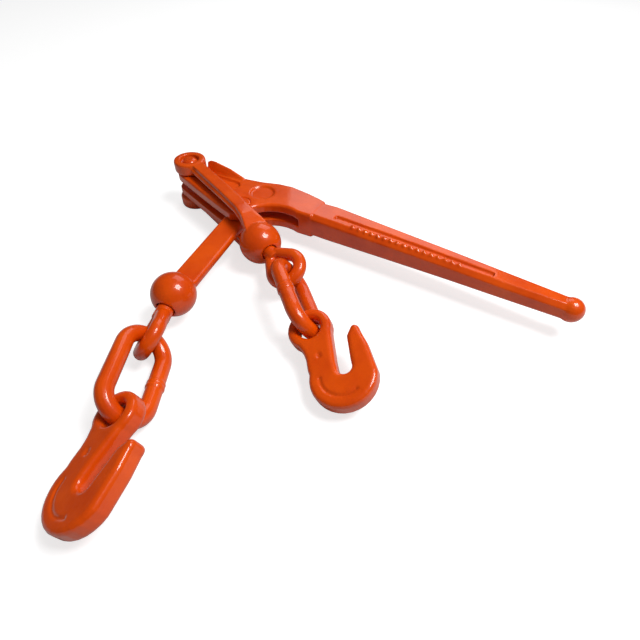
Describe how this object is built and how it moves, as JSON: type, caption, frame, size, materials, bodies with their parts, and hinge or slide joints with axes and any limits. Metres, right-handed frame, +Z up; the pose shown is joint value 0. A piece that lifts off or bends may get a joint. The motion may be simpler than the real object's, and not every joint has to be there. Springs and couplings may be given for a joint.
{
  "type": "lever load binder",
  "caption": "Forged lever load binder lying open: forked lever, pivoting yoke and flat tension bar with ball sockets, each carrying a swivel eye bolt, a chain link and a grab hook.",
  "frame": {"origin": "on the yoke pivot's axis, at the centre of the flat of the lower yoke rivet, in the plane the binder rests on", "axes": "+X runs along the lever handle from the yoke pivot to the knob, +Z runs up along the pivot pins, +Y completes the right-handed frame"},
  "size_m": [0.421, 0.3559, 0.0524],
  "materials": {
    "lever_handle_paint": "gloss",
    "bar_pin_paint": "gloss",
    "yoke_rivet_upper_paint": "gloss",
    "yoke_rivet_lower_paint": "gloss",
    "yoke_paint": "gloss",
    "yoke_eye_bolt_paint": "gloss",
    "yoke_link_paint": "gloss",
    "yoke_grab_hook_paint": "gloss",
    "tension_bar_paint": "gloss",
    "bar_eye_bolt_paint": "gloss",
    "bar_link_paint": "gloss",
    "bar_grab_hook_paint": "gloss"
  },
  "bodies": {
    "lever": {"lever_handle": "lever_handle_paint", "yoke_rivet_upper": "yoke_rivet_upper_paint", "yoke_rivet_lower": "yoke_rivet_lower_paint"},
    "bar_pin": {"bar_pin": "bar_pin_paint"},
    "yoke": {"yoke": "yoke_paint"},
    "tension_bar": {"tension_bar": "tension_bar_paint"},
    "yoke_eye_bolt": {"yoke_eye_bolt": "yoke_eye_bolt_paint"},
    "yoke_link": {"yoke_link": "yoke_link_paint"},
    "yoke_grab_hook": {"yoke_grab_hook": "yoke_grab_hook_paint"},
    "bar_eye_bolt": {"bar_eye_bolt": "bar_eye_bolt_paint"},
    "bar_link": {"bar_link": "bar_link_paint"},
    "bar_grab_hook": {"bar_grab_hook": "bar_grab_hook_paint"}
  },
  "joints": [
    {"name": "yoke_swing", "type": "hinge", "parent": "lever", "child": "yoke", "pos_m": [0, 0, 0.0262], "axis": [0, 0, 1], "range_deg": [-85, 9]},
    {"name": "bar_pin_turn", "type": "hinge", "parent": "lever", "child": "bar_pin", "pos_m": [0.084, -0.0245, 0.0262], "axis": [0, 0, 1], "range_deg": [-98, 11]},
    {"name": "bar_swing", "type": "hinge", "parent": "bar_pin", "child": "tension_bar", "pos_m": [0.084, -0.0245, 0.0262], "axis": [0, 0, 1], "range_deg": [-126, 1]},
    {"name": "yoke_eye_swivel", "type": "hinge", "parent": "yoke", "child": "yoke_eye_bolt", "pos_m": [0.12821, -0.05575, 0.0262], "axis": [0.9109, -0.4113, -0.0332], "continuous": true},
    {"name": "yoke_link_swing", "type": "hinge", "parent": "yoke_eye_bolt", "child": "yoke_link", "pos_m": [0.16828, -0.07384, 0.02474], "axis": [-0.1975, -0.5052, 0.8401], "range_deg": [-80, 65]},
    {"name": "yoke_hook_swing", "type": "hinge", "parent": "yoke_link", "child": "yoke_grab_hook", "pos_m": [0.22339, -0.12294, 0.01932], "axis": [-0.182, -0.3151, 0.9314], "range_deg": [-90, 90]},
    {"name": "bar_eye_swivel", "type": "hinge", "parent": "tension_bar", "child": "bar_eye_bolt", "pos_m": [0.10742, -0.14963, 0.0262], "axis": [0.2791, -0.9483, -0.1513], "continuous": true},
    {"name": "bar_link_swing", "type": "hinge", "parent": "bar_eye_bolt", "child": "bar_link", "pos_m": [0.1197, -0.19135, 0.01954], "axis": [-0.7436, -0.3131, 0.5907], "range_deg": [-80, 80]},
    {"name": "bar_hook_swing", "type": "hinge", "parent": "bar_link", "child": "bar_grab_hook", "pos_m": [0.15555, -0.25604, 0.022], "axis": [-0.3829, -0.2173, 0.8978], "range_deg": [-90, 90]}
  ],
  "couplings": [
    {"joint": "bar_pin_turn", "follows": "yoke_swing", "ratio": 1.15}
  ]
}
